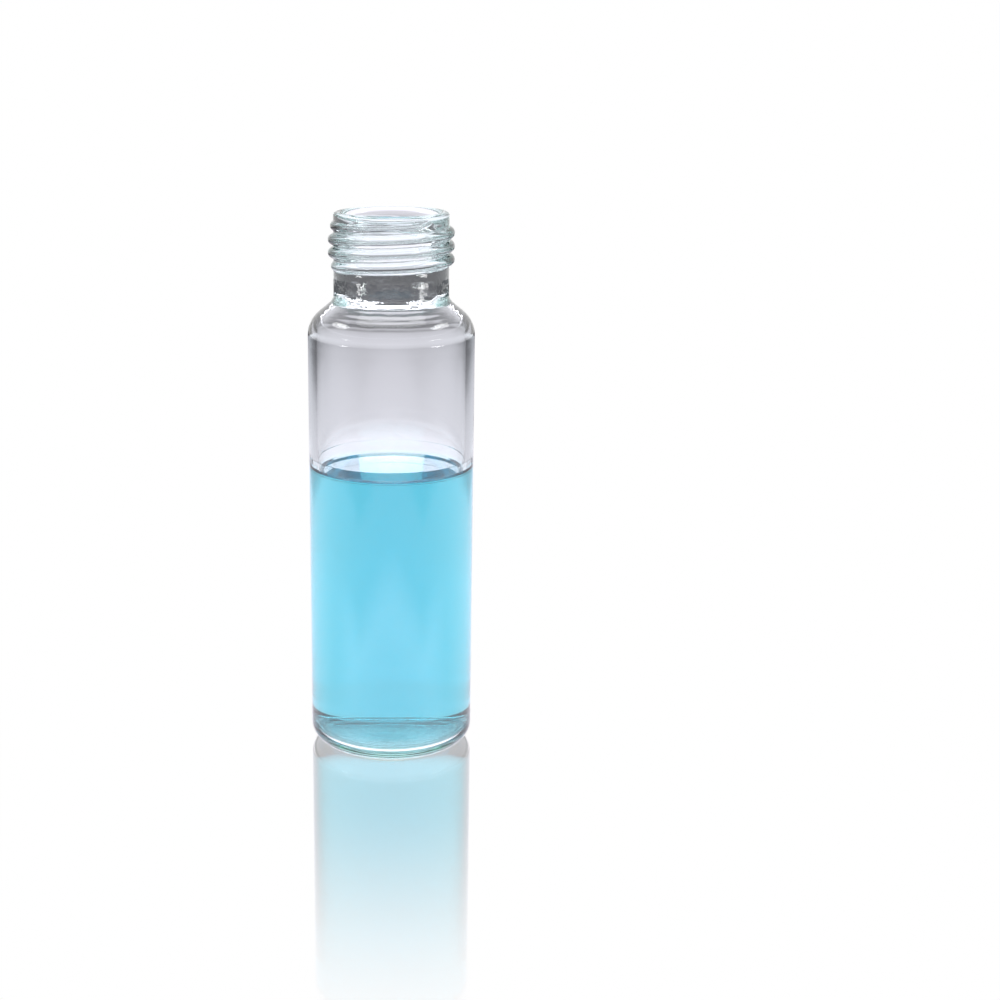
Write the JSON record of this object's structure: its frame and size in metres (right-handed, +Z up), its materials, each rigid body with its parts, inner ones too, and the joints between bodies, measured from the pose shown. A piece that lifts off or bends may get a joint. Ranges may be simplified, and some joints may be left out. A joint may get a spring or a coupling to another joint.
{
  "type": "glass sample vial",
  "caption": "Clear glass screw-neck sample vial with a rounded external thread, open mouth and flat base, half filled with light blue liquid.",
  "frame": {"origin": "centre of the base, in the plane of the ring that the vial stands on", "axes": "+Z up along the vial's axis through the mouth; -Y towards the viewer, with +X to the right"},
  "size_m": [0.023, 0.023, 0.0757],
  "materials": {
    "glass": "polished",
    "sample": "gloss"
  },
  "bodies": {
    "root": {"vial": "glass", "liquid": "sample"}
  },
  "joints": []
}
